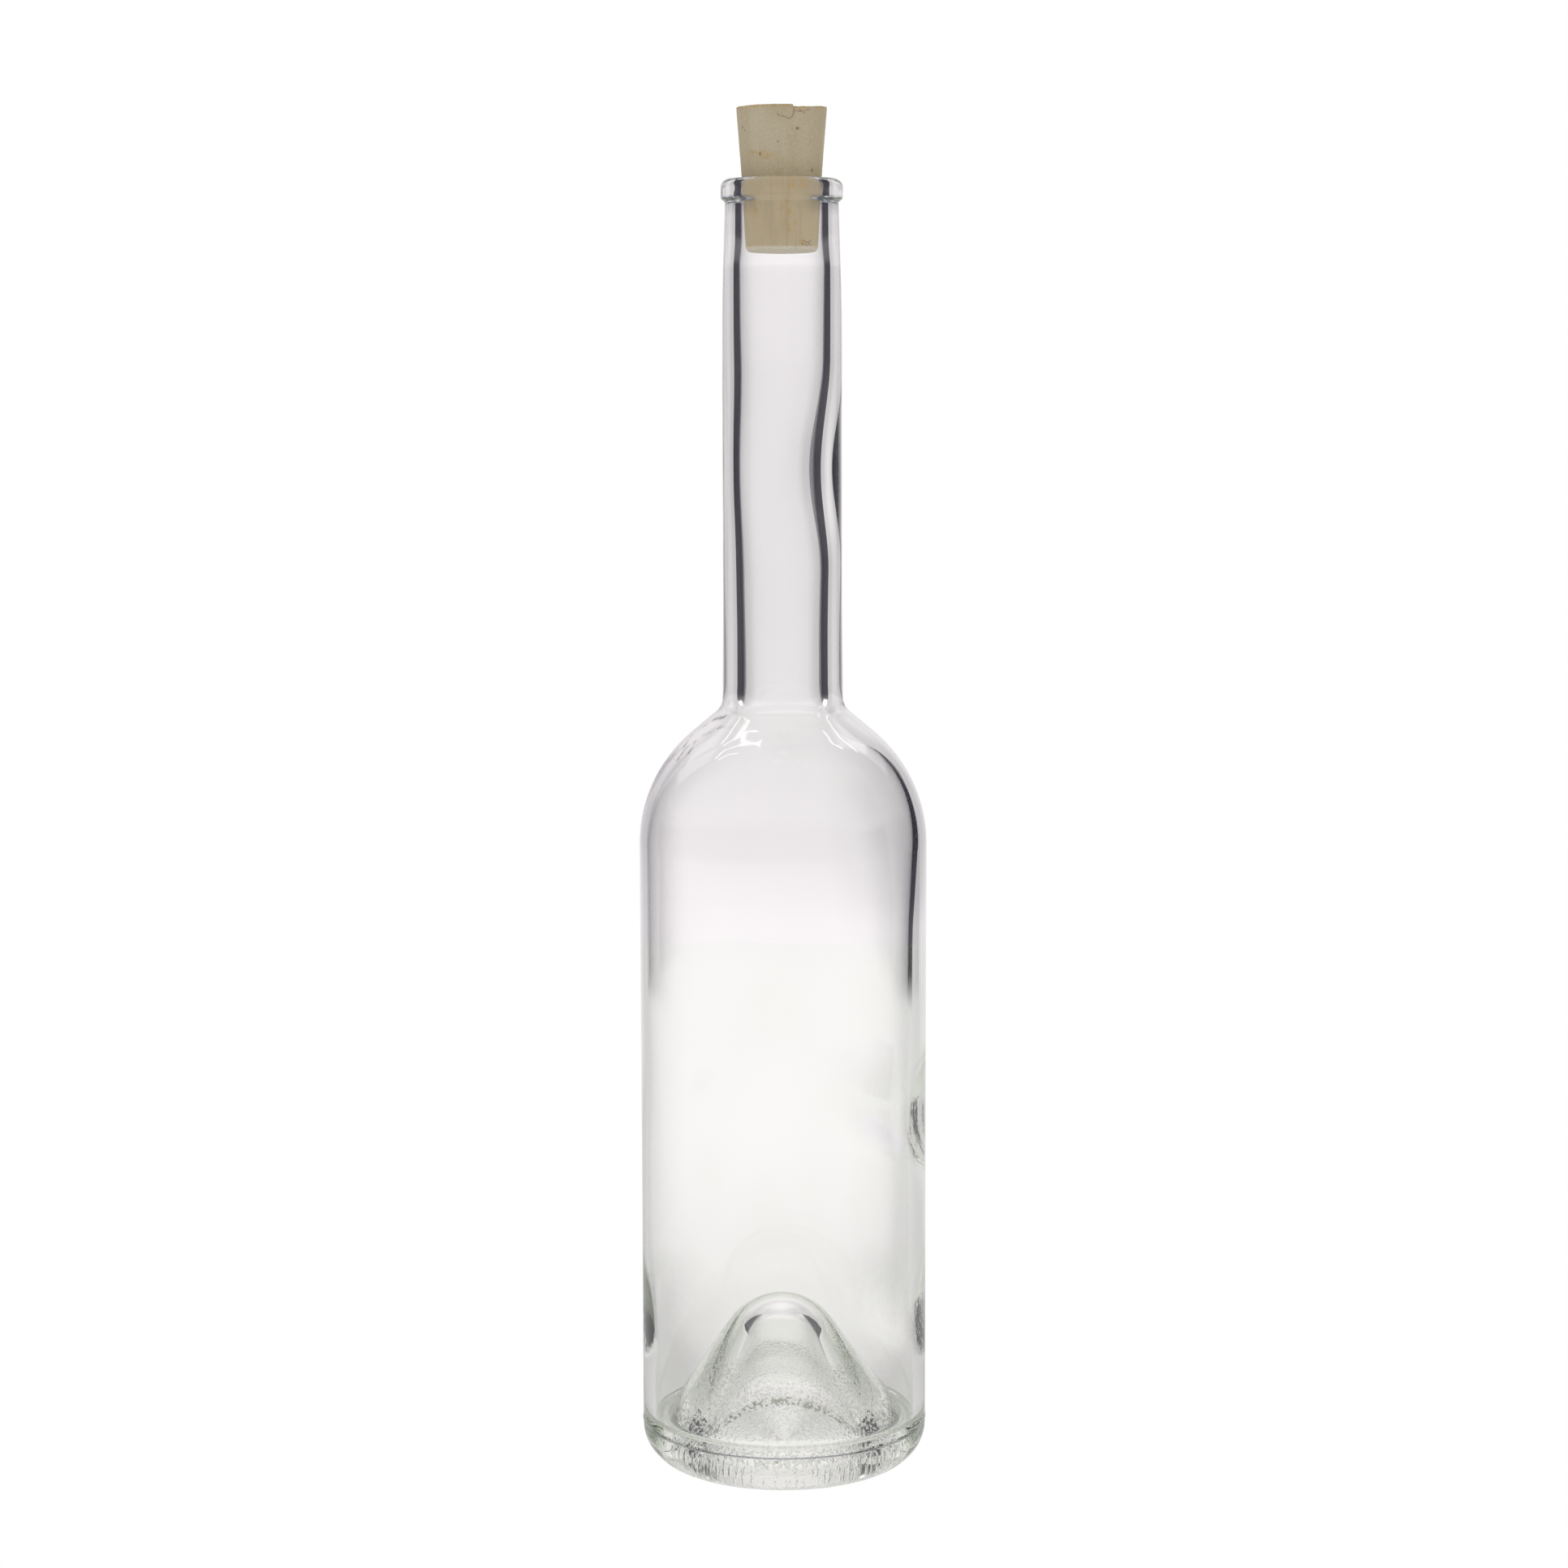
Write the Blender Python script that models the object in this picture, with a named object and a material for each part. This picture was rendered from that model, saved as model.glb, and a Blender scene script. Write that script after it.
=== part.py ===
"""A long-necked bottle of clear glass with a tapered cork in its mouth.

The glass is one moulded piece: a straight round body, a domed shoulder, a long neck that ends in a lip,
and a base pushed up into a punt. Its wall is one closed outline turned about the Z axis, written as
corners that are each rounded by a radius of their own. The cork is the only piece that moves: it pulls
straight up out of the mouth. Everything is in metres, with Z up, and the bottle stands at the origin.
"""

import math

import bmesh
import bpy
from mathutils import Vector

MM = 0.001
DEGREE = math.pi / 180

# How finely the round shapes are drawn: the steps of a full turn, and how far a chord may stray from its arc
SEGMENTS = 40
ARC_TOLERANCE = 0.03 * MM
MERGE_DISTANCE = 0.001 * MM
SMOOTH_ANGLE = 40 * DEGREE

# The outside of the glass, from the lip down
BOTTLE_HEIGHT = 305.1 * MM
LIP_HEIGHT = 4.6 * MM
LIP_PROUD = 0.95 * MM
LIP_EDGE_RADIUS = 1.8 * MM
LIP_UNDER_DROP = 0.5 * MM
LIP_UNDER_RADIUS = 0.6 * MM
NECK_TOP_TAPER_LENGTH = 24.5 * MM
NECK_FOOT_TAPER_LENGTH = 25.0 * MM
NECK_FOOT_SWELL = 0.25 * MM
NECK_FOOT_RADIUS = 4.8 * MM
SHOULDER_SLOPE = 50.0 * DEGREE
SHOULDER_RADIUS = 34.5 * MM
SHOULDER_CORNER_HEIGHT = 165.9 * MM
BODY_DIAMETER = 68.0 * MM
SEAM_HEIGHT = 10.4 * MM
SEAM_PROUD = 0.15 * MM
SEAM_HALF_WIDTH = 0.4 * MM
HEEL_RADIUS = 9.2 * MM

# The inside of the glass, from the mouth down
MOUTH_DIAMETER = 19.0 * MM
MOUTH_EDGE_RADIUS = 0.8 * MM
MOUTH_WALL = 3.7 * MM
MOUTH_DEPTH = 13.6 * MM
MOUTH_TO_NECK_LENGTH = 6.0 * MM
NECK_BORE_DIAMETER = 20.0 * MM
NECK_WALL = 3.95 * MM
NECK_MIDDLE_BORE_DIAMETER = 19.2 * MM
NECK_MIDDLE_DROP = 73.1 * MM
NECK_FOOT_BORE_DIAMETER = 18.0 * MM
NECK_FOOT_BORE_LENGTH = 15.0 * MM
NECK_FOOT_INNER_RADIUS = 16.0 * MM
SHOULDER_WALL = 3.0 * MM
UPPER_BODY_WALL = 2.8 * MM
MIDDLE_BODY_WALL = 2.5 * MM
MIDDLE_BODY_HEIGHT = 90.0 * MM
LOWER_BODY_WALL = 2.8 * MM
LOWER_BODY_HEIGHT = 26.0 * MM

# The thick spots, where the inner wall stands further in on the +X side. One is in the neck, a drop below the
# rim, and one in the body, a drop below the shoulder's corner.
NECK_SPOT_DROP = 66.1 * MM
NECK_SPOT_HALF_LENGTH = 25.0 * MM
NECK_SPOT_DEPTH = 2.1 * MM
NECK_SPOT_HALF_ANGLE = 180.0 * DEGREE
BODY_SPOT_DROP = 43.4 * MM
BODY_SPOT_HALF_LENGTH = 28.0 * MM
BODY_SPOT_DEPTH = 2.1 * MM
BODY_SPOT_HALF_ANGLE = 90.0 * DEGREE
SPOT_ROWS = 8

# The base: a ring to stand on, and the punt inside it
BEARING_WIDTH = 3.2 * MM
BEARING_EDGE_RADIUS = 2.0 * MM
PUNT_DEPTH = 35.8 * MM
PUNT_DOME_RADIUS = 9.1 * MM
PUNT_GLASS = 4.6 * MM
PUNT_INNER_DOME_RADIUS = 15.2 * MM
FLOOR_HEIGHT = 7.5 * MM
FLOOR_RADIUS = 1.8 * MM

# The cork
CORK_LENGTH = 33.5 * MM
CORK_STAND = 16.4 * MM
CORK_CLEARANCE = 0.3 * MM
CORK_TOP_SWELL = 1.35 * MM
CORK_FOOT_TAPER = 0.8 * MM
CORK_TOP_EDGE_RADIUS = 0.3 * MM
CORK_FOOT_EDGE_RADIUS = 1.4 * MM

# Colours, roughness and IOR of the two materials
GLASS_COLOUR = (0.93, 0.95, 0.94)
GLASS_ROUGHNESS = 0.02
GLASS_IOR = 1.5
CORK_COLOUR = (0.62, 0.54, 0.40)
CORK_ROUGHNESS = 0.85
CORK_IOR = 1.45


def clear_scene():
    for found in list(bpy.data.objects):
        bpy.data.objects.remove(found, do_unlink=True)


def make_material(name, colour, roughness, ior, transmission):
    material = bpy.data.materials.new(name)
    material.use_nodes = True
    shader = material.node_tree.nodes["Principled BSDF"]
    shader.inputs["Base Color"].default_value = (*colour, 1.0)
    shader.inputs["Roughness"].default_value = roughness
    shader.inputs["Metallic"].default_value = 0.0
    shader.inputs["Transmission Weight"].default_value = transmission
    shader.inputs["IOR"].default_value = ior
    return material


class Corner:
    """One corner of an outline: its distance from the axis, its height, and the arc that rounds it."""

    def __init__(self, radius, height, arc_radius=0.0):
        self.place = Vector((radius, height))
        self.arc_radius = arc_radius
        self.reach = 0.0


def turn_at(before, corner, after):
    """The unit steps back and ahead from a corner, and the angle that the outline turns by there."""
    back = (before.place - corner.place).normalized()
    ahead = (after.place - corner.place).normalized()
    return back, ahead, math.pi - back.angle(ahead)


def fit_arcs(corners):
    """Works out how far each arc reaches along its runs, and shortens those that would meet."""
    for before, corner, after in zip(corners, corners[1:], corners[2:]):
        turn = turn_at(before, corner, after)[2]
        corner.reach = corner.arc_radius * math.tan(turn / 2)
    wanted = [corner.reach for corner in corners]
    for i, (first, second) in enumerate(zip(corners, corners[1:])):
        room = (second.place - first.place).length
        both = wanted[i] + wanted[i + 1]
        if both > room:
            first.reach = min(first.reach, wanted[i] * room / both)
            second.reach = min(second.reach, wanted[i + 1] * room / both)


def arc_steps(arc_radius, turn):
    """How many chords an arc takes for none to stray from it by more than the tolerance."""
    most_per_chord = 2 * math.acos(max(0.0, 1 - ARC_TOLERANCE / arc_radius))
    return max(2, math.ceil(turn / most_per_chord))


def rounded_outline(corners):
    """The points of an outline, with an arc in place of each corner that has a radius."""
    fit_arcs(corners)
    points = [corners[0].place]
    for before, corner, after in zip(corners, corners[1:], corners[2:]):
        if corner.reach == 0.0:
            points.append(corner.place)
            continue
        back, ahead, turn = turn_at(before, corner, after)
        arc_radius = corner.reach / math.tan(turn / 2)
        steps = arc_steps(arc_radius, turn)
        centre = corner.place + (back + ahead).normalized() * math.hypot(corner.reach, arc_radius)
        start = corner.place + back * corner.reach
        for step in range(steps + 1):
            swing = turn * step / steps
            along = back * (arc_radius * math.sin(swing))
            points.append(centre + (start - centre) * math.cos(swing) - along)
    points.append(corners[-1].place)
    return points


def turned_mesh(name, outline):
    """A closed mesh: an outline that starts and ends on the Z axis, spun once round it."""
    shape = bmesh.new()
    line = [shape.verts.new((point.x, 0.0, point.y)) for point in outline]
    edges = [shape.edges.new(pair) for pair in zip(line, line[1:])]
    bmesh.ops.spin(
        shape,
        geom=line + edges,
        cent=(0.0, 0.0, 0.0),
        axis=(0.0, 0.0, 1.0),
        angle=2 * math.pi,
        steps=SEGMENTS,
        use_merge=True,
    )
    bmesh.ops.remove_doubles(shape, verts=shape.verts, dist=MERGE_DISTANCE)
    bmesh.ops.recalc_face_normals(shape, faces=shape.faces)
    mesh = bpy.data.meshes.new(name)
    shape.to_mesh(mesh)
    shape.free()
    return mesh


def add_object(name, mesh, material, location):
    mesh.materials.append(material)
    mesh.shade_smooth()
    mesh.set_sharp_from_angle(angle=SMOOTH_ANGLE)
    made = bpy.data.objects.new(name, mesh)
    made.location = location
    bpy.context.scene.collection.objects.link(made)
    return made


def dome_corner(foot, top, dome_radius):
    """The corner under a round top, where a level line meets the slope that rises from the foot.

    The slope runs from the foot and just touches a ball of the dome's radius that sits on the axis.
    """
    to_centre = Vector((foot.place.x, top - dome_radius - foot.place.y))
    rise = math.atan2(to_centre.y, to_centre.x)
    slope = rise + math.asin(min(1.0, dome_radius / to_centre.length))
    return Corner(dome_radius * math.tan(slope / 2), top, dome_radius)


class ThickSpot:
    """A place where the wall stands further in, most at its middle on the +X side and not at its edge."""

    def __init__(self, height, half_length, depth, half_angle, wall_middle):
        self.height = height
        self.half_length = half_length
        self.depth = depth
        self.half_angle = half_angle
        self.wall_middle = wall_middle

    def row_heights(self):
        """The heights of the rows that let the wall bend."""
        return [self.height + self.half_length * (2 * row / SPOT_ROWS - 1) for row in range(SPOT_ROWS + 1)]

    def push(self, vertex):
        """Moves a point of the inner wall towards the axis."""
        radius = math.hypot(vertex.co.x, vertex.co.y)
        climb = abs(vertex.co.z - self.height) / self.half_length
        turn = abs(math.atan2(vertex.co.y, vertex.co.x)) / self.half_angle
        if radius > self.wall_middle or climb >= 1.0 or turn >= 1.0:
            return
        fade = math.cos(math.pi / 2 * climb) ** 2 * math.cos(math.pi / 2 * turn) ** 2
        inwards = 1 - self.depth * fade / radius
        vertex.co.x *= inwards
        vertex.co.y *= inwards


def thick_spots():
    return [
        ThickSpot(
            BOTTLE_HEIGHT - NECK_SPOT_DROP,
            NECK_SPOT_HALF_LENGTH,
            NECK_SPOT_DEPTH,
            NECK_SPOT_HALF_ANGLE,
            NECK_BORE_DIAMETER / 2 + NECK_WALL / 2,
        ),
        ThickSpot(
            SHOULDER_CORNER_HEIGHT - BODY_SPOT_DROP,
            BODY_SPOT_HALF_LENGTH,
            BODY_SPOT_DEPTH,
            BODY_SPOT_HALF_ANGLE,
            BODY_DIAMETER / 2 - MIDDLE_BODY_WALL / 2,
        ),
    ]


def add_row(corners, height):
    """Adds a corner with no arc to an outline that climbs, at a height between two of its corners."""
    above = next(i for i, corner in enumerate(corners) if corner.place.y > height)
    low = corners[above - 1].place
    high = corners[above].place
    share = (height - low.y) / (high.y - low.y)
    corners.insert(above, Corner(low.x + share * (high.x - low.x), height))


def inner_base_corners():
    """The floor inside the bottle, from the punt's crown on the axis to the foot of the wall."""
    top = PUNT_DEPTH + PUNT_GLASS
    foot = Corner(BODY_DIAMETER / 2 - LOWER_BODY_WALL, FLOOR_HEIGHT, FLOOR_RADIUS)
    return [Corner(0.0, top), dome_corner(foot, top, PUNT_INNER_DOME_RADIUS), foot]


def inner_wall_corners():
    """The inside of the body, shoulder and neck, from the foot up to the mouth."""
    body_radius = BODY_DIAMETER / 2
    upper_radius = body_radius - UPPER_BODY_WALL
    foot_bore_radius = NECK_FOOT_BORE_DIAMETER / 2
    wall_drop = SHOULDER_WALL / math.sin(SHOULDER_SLOPE)
    mouth_foot = BOTTLE_HEIGHT - MOUTH_DEPTH

    def shoulder_height(radius):
        rise = (body_radius - radius) / math.tan(SHOULDER_SLOPE)
        return SHOULDER_CORNER_HEIGHT + rise - wall_drop

    neck_foot = shoulder_height(foot_bore_radius)
    corners = [
        Corner(body_radius - LOWER_BODY_WALL, LOWER_BODY_HEIGHT),
        Corner(body_radius - MIDDLE_BODY_WALL, MIDDLE_BODY_HEIGHT),
        Corner(upper_radius, shoulder_height(upper_radius), SHOULDER_RADIUS - SHOULDER_WALL),
        Corner(foot_bore_radius, neck_foot, NECK_FOOT_INNER_RADIUS),
        Corner(foot_bore_radius, neck_foot + NECK_FOOT_BORE_LENGTH),
        Corner(NECK_MIDDLE_BORE_DIAMETER / 2, BOTTLE_HEIGHT - NECK_MIDDLE_DROP),
        Corner(NECK_BORE_DIAMETER / 2, mouth_foot - MOUTH_TO_NECK_LENGTH),
        Corner(MOUTH_DIAMETER / 2, mouth_foot),
        Corner(MOUTH_DIAMETER / 2, BOTTLE_HEIGHT, MOUTH_EDGE_RADIUS),
    ]
    for spot in thick_spots():
        for height in spot.row_heights():
            add_row(corners, height)
    return corners


def outer_wall_corners():
    """The outside of the lip, neck, shoulder and body, from the lip's rim down to the heel seam."""
    body_radius = BODY_DIAMETER / 2
    neck_top_radius = MOUTH_DIAMETER / 2 + MOUTH_WALL
    neck_radius = NECK_BORE_DIAMETER / 2 + NECK_WALL
    neck_foot_radius = neck_radius + NECK_FOOT_SWELL
    lip_radius = neck_top_radius + LIP_PROUD
    lip_foot = BOTTLE_HEIGHT - LIP_HEIGHT
    neck_top = lip_foot - LIP_UNDER_DROP
    neck_foot = SHOULDER_CORNER_HEIGHT + (body_radius - neck_foot_radius) / math.tan(SHOULDER_SLOPE)
    return [
        Corner(lip_radius, BOTTLE_HEIGHT, LIP_EDGE_RADIUS),
        Corner(lip_radius, lip_foot, LIP_UNDER_RADIUS),
        Corner(neck_top_radius, neck_top, LIP_UNDER_RADIUS),
        Corner(neck_radius, neck_top - NECK_TOP_TAPER_LENGTH),
        Corner(neck_radius, neck_foot + NECK_FOOT_TAPER_LENGTH),
        Corner(neck_foot_radius, neck_foot, NECK_FOOT_RADIUS),
        Corner(body_radius, SHOULDER_CORNER_HEIGHT, SHOULDER_RADIUS),
        Corner(body_radius, SEAM_HEIGHT + SEAM_HALF_WIDTH),
        Corner(body_radius + SEAM_PROUD, SEAM_HEIGHT),
        Corner(body_radius, SEAM_HEIGHT - SEAM_HALF_WIDTH),
    ]


def outer_base_corners():
    """The heel, the bearing ring and the underside of the punt, ending on the axis."""
    body_radius = BODY_DIAMETER / 2
    ring_radius = body_radius - HEEL_RADIUS
    ring_edge = Corner(ring_radius - BEARING_WIDTH, 0.0, BEARING_EDGE_RADIUS)
    return [
        Corner(body_radius, 0.0, HEEL_RADIUS),
        ring_edge,
        dome_corner(ring_edge, PUNT_DEPTH, PUNT_DOME_RADIUS),
        Corner(0.0, PUNT_DEPTH),
    ]


def make_bottle():
    corners = inner_base_corners() + inner_wall_corners() + outer_wall_corners() + outer_base_corners()
    mesh = turned_mesh("glass_bottle", rounded_outline(corners))
    for spot in thick_spots():
        for vertex in mesh.vertices:
            spot.push(vertex)
    glass = make_material("clear_glass", GLASS_COLOUR, GLASS_ROUGHNESS, GLASS_IOR, transmission=1.0)
    add_object("glass_bottle", mesh, glass, (0.0, 0.0, 0.0))


def make_cork():
    """The cork about its own origin, which lies on the axis at the height of the lip's rim."""
    fit_radius = MOUTH_DIAMETER / 2 - CORK_CLEARANCE
    foot = CORK_STAND - CORK_LENGTH
    corners = [
        Corner(0.0, foot),
        Corner(fit_radius - CORK_FOOT_TAPER, foot, CORK_FOOT_EDGE_RADIUS),
        Corner(fit_radius, -MOUTH_EDGE_RADIUS),
        Corner(fit_radius + CORK_TOP_SWELL, CORK_STAND, CORK_TOP_EDGE_RADIUS),
        Corner(0.0, CORK_STAND),
    ]
    mesh = turned_mesh("cork_stopper", rounded_outline(corners))
    cork = make_material("natural_cork", CORK_COLOUR, CORK_ROUGHNESS, CORK_IOR, transmission=0.0)
    add_object("cork_stopper", mesh, cork, (0.0, 0.0, BOTTLE_HEIGHT))


def main():
    clear_scene()
    make_bottle()
    make_cork()


main()
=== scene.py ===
"""The looks of a long-necked bottle of clear glass with a tapered cork in its mouth.

The glass is one closed surface: an outline turned about the Z axis, whose inner wall is then moved in and
out to give the uneven thickness of blown glass. The cork is another turned surface, with a split rim,
cracks, pits and grain. They stand for the solids glass_bottle and cork_stopper. Everything is in metres,
with Z up, and angles round the axis are measured from +X, the photo's right-hand side, unless a comment
says otherwise.
"""

import math

import bpy
import numpy as np
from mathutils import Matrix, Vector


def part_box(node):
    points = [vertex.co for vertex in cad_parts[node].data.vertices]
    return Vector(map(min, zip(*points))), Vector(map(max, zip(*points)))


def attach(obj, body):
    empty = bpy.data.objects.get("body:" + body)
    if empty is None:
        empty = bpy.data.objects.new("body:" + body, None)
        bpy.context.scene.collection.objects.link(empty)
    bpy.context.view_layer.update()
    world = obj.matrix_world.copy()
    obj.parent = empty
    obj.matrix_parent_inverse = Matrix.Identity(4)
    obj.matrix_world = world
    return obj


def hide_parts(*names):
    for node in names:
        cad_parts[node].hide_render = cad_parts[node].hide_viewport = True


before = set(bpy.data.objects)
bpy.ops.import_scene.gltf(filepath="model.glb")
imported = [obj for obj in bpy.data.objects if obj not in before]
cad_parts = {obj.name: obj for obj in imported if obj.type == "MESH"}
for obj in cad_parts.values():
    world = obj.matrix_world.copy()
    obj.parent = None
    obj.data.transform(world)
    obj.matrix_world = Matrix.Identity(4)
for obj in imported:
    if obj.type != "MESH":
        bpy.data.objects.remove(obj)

MM = 0.001
DEGREE = math.pi / 180
WHITE = (1.0, 1.0, 1.0, 1.0)

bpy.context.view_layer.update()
glass_low, glass_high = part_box("glass_bottle")
cork_low, cork_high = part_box("cork_stopper")

# The outside of the glass. Heights and the body's radius come from the frame.
BOTTLE_HEIGHT = glass_high.z
SEAM_PROUD = 0.15 * MM
BODY_RADIUS = glass_high.x - SEAM_PROUD
LIP_HEIGHT = 4.6 * MM
LIP_PROUD = 0.95 * MM
LIP_EDGE_RADIUS = 1.8 * MM
LIP_UNDER_DROP = 0.7 * MM
LIP_UNDER_RADIUS = 0.7 * MM
NECK_TOP_TAPER_LENGTH = 24.5 * MM
NECK_FOOT_TAPER_LENGTH = 25.0 * MM
NECK_FOOT_SWELL = 0.25 * MM
NECK_FOOT_RADIUS = 4.8 * MM
SHOULDER_SLOPE = 50.0 * DEGREE
SHOULDER_RADIUS = 34.5 * MM
SHOULDER_CORNER_HEIGHT = 165.9 * MM
SEAM_HEIGHT = 10.4 * MM
SEAM_HALF_WIDTH = 0.4 * MM
SEAM_SOFTNESS = 0.08 * MM
HEEL_RADIUS = 9.2 * MM

# The inside of the glass
MOUTH_RADIUS = 9.5 * MM
MOUTH_EDGE_RADIUS = 0.8 * MM
MOUTH_WALL = 3.7 * MM
MOUTH_DEPTH = 13.6 * MM
MOUTH_TO_NECK_LENGTH = 6.0 * MM
MOUTH_EASE = 20.0 * MM
BORE_RADIUS = 10.0 * MM
NECK_WALL = 3.95 * MM
MIDDLE_BORE_RADIUS = 9.6 * MM
MIDDLE_BORE_DROP = 73.1 * MM
FOOT_BORE_RADIUS = 9.0 * MM
FOOT_BORE_LENGTH = 15.0 * MM
FOOT_INNER_RADIUS = 12.0 * MM
NECK_FOOT_WALL = 4.0 * MM
BORE_EASE = 700.0 * MM
SHOULDER_WALL = 3.0 * MM
UPPER_BODY_WALL = 2.75 * MM
MIDDLE_BODY_WALL = 2.75 * MM
MIDDLE_BODY_HEIGHT = 90.0 * MM
LOWER_BODY_WALL = 2.8 * MM
LOWER_BODY_HEIGHT = 26.0 * MM
BODY_EASE = 600.0 * MM

# The base
BEARING_WIDTH = 3.2 * MM
BEARING_EDGE_RADIUS = 2.0 * MM
PUNT_DEPTH = 35.8 * MM
PUNT_DOME_RADIUS = 9.1 * MM
PUNT_GLASS = 4.6 * MM
PUNT_INNER_DOME_RADIUS = 15.2 * MM
FLOOR_HEIGHT = 7.5 * MM
FLOOR_RADIUS = 1.8 * MM

# How far apart the rows of the glass lie on its plain, curved and textured stretches, how far a rounded
# corner turns from one row to the next, and how many points a row has
PLAIN_STEP = 3.0 * MM
CURVED_STEP = 1.1 * MM
FINE_STEP = 0.45 * MM
PUNT_STEP = 0.7 * MM
BORE_STEP = 2.2 * MM
ARC_STEP = 7.0 * DEGREE
GLASS_SEGMENTS = 180

# The waves of soft_noise: how many there are, and their shortest and longest length as shares of its size
NOISE_WAVES = 24
NOISE_SPREAD = (0.7, 1.4)


def smooth_step(value, low, high):
    """0 below low, 1 above high, and a smooth cubic between them."""
    share = np.clip((value - low) / (high - low), 0.0, 1.0)
    return share * share * (3 - 2 * share)


def fade_out(value, end, length):
    """1 until a length before the end, 0 from the end on, and a smooth cubic between them."""
    return 1 - smooth_step(value, end - length, end)


def hump(value, centre, half_width):
    """A raised cosine: 1 at the centre, and 0 from half_width away on."""
    share = np.clip(np.abs(value - centre) / half_width, 0.0, 1.0)
    return np.cos(share * math.pi / 2) ** 2


def angle_from(angle, centre):
    """How far an angle lies from a centre, the short way round."""
    return (angle - centre + math.pi) % (2 * math.pi) - math.pi


def soft_noise(places, size, seed):
    """A smooth random value, mostly within -1 to 1: a sum of sine waves in random directions."""
    random = np.random.default_rng(seed)
    directions = random.normal(size=(NOISE_WAVES, 3))
    directions /= np.linalg.norm(directions, axis=1)[:, None]
    directions *= 2 * math.pi / (size * random.uniform(*NOISE_SPREAD, size=(NOISE_WAVES, 1)))
    phases = random.uniform(0, 2 * math.pi, size=NOISE_WAVES)
    return np.sin(places @ directions.T + phases).sum(axis=-1) / math.sqrt(NOISE_WAVES)


def rounded_outline(corners):
    """The rows of an outline, as distances from the axis and heights.

    Each corner is (radius, height, rounding, step). It is cut by an arc that touches both of its runs, and
    the run that follows it is divided into rows no further apart than its step.
    """
    places = np.array([corner[:2] for corner in corners])
    rows = places[:1]
    for i in range(1, len(corners)):
        step = corners[i - 1][3]
        if i == len(corners) - 1:
            arc = places[i:]
        else:
            rounding, next_step = corners[i][2:]
            arc = corner_arc(places[i - 1], places[i], places[i + 1], rounding, min(step, next_step))
        run = arc[0] - rows[-1]
        shares = np.linspace(0, 1, max(1, math.ceil(np.linalg.norm(run) / step)) + 1)[1:-1, None]
        rows = np.concatenate([rows, rows[-1] + run * shares, arc])
    return rows


def corner_arc(before, corner, after, rounding, step):
    """The points of a rounded corner: centre + (start - centre) cos(swing) - back rounding sin(swing)."""
    if rounding == 0:
        return corner[None, :]
    back = (before - corner) / np.linalg.norm(before - corner)
    ahead = (after - corner) / np.linalg.norm(after - corner)
    turn = math.pi - math.acos(np.clip(back @ ahead, -1, 1))
    reach = rounding * math.tan(turn / 2)
    start = corner + back * reach
    middle = back + ahead
    centre = corner + middle / np.linalg.norm(middle) * math.hypot(reach, rounding)
    count = max(2, math.ceil(turn / min(ARC_STEP, step / rounding)))
    swing = np.linspace(0, turn, count + 1)[:, None]
    return centre + (start - centre) * np.cos(swing) - back * rounding * np.sin(swing)


def dome_corner(foot, top, dome_radius, step):
    """The corner under a round top: the slope from the foot just touches a ball that sits on the axis."""
    across = foot[0]
    up = top - dome_radius - foot[1]
    slope = math.atan2(up, across) + math.asin(dome_radius / math.hypot(across, up))
    return (dome_radius * math.tan(slope / 2), top, dome_radius, step)


def inner_outline():
    """The rows of the inside, from the punt's crown up to the middle of the lip's rim."""
    crown = PUNT_DEPTH + PUNT_GLASS
    lower = BODY_RADIUS - LOWER_BODY_WALL
    upper = BODY_RADIUS - UPPER_BODY_WALL
    foot = (lower, FLOOR_HEIGHT, FLOOR_RADIUS, CURVED_STEP)

    def shoulder_height(radius, wall):
        drop = wall / math.sin(SHOULDER_SLOPE)
        return SHOULDER_CORNER_HEIGHT + (BODY_RADIUS - radius) / math.tan(SHOULDER_SLOPE) - drop

    neck_foot = shoulder_height(FOOT_BORE_RADIUS, NECK_FOOT_WALL)
    mouth_foot = BOTTLE_HEIGHT - MOUTH_DEPTH
    return rounded_outline([
        (0.0, crown, 0.0, CURVED_STEP),
        dome_corner(foot, crown, PUNT_INNER_DOME_RADIUS, CURVED_STEP),
        foot,
        (lower, LOWER_BODY_HEIGHT, BODY_EASE, PLAIN_STEP),
        (BODY_RADIUS - MIDDLE_BODY_WALL, MIDDLE_BODY_HEIGHT, BODY_EASE, PLAIN_STEP),
        (upper, shoulder_height(upper, SHOULDER_WALL), SHOULDER_RADIUS - SHOULDER_WALL, CURVED_STEP),
        (FOOT_BORE_RADIUS, neck_foot, FOOT_INNER_RADIUS, CURVED_STEP),
        (FOOT_BORE_RADIUS, neck_foot + FOOT_BORE_LENGTH, BORE_EASE, BORE_STEP),
        (MIDDLE_BORE_RADIUS, BOTTLE_HEIGHT - MIDDLE_BORE_DROP, BORE_EASE, BORE_STEP),
        (BORE_RADIUS, mouth_foot - MOUTH_TO_NECK_LENGTH, MOUTH_EASE, CURVED_STEP),
        (MOUTH_RADIUS, mouth_foot, MOUTH_EASE, CURVED_STEP),
        (MOUTH_RADIUS, BOTTLE_HEIGHT, MOUTH_EDGE_RADIUS, FINE_STEP),
        (MOUTH_RADIUS + MOUTH_WALL / 2, BOTTLE_HEIGHT, 0.0, FINE_STEP),
    ])


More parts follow.
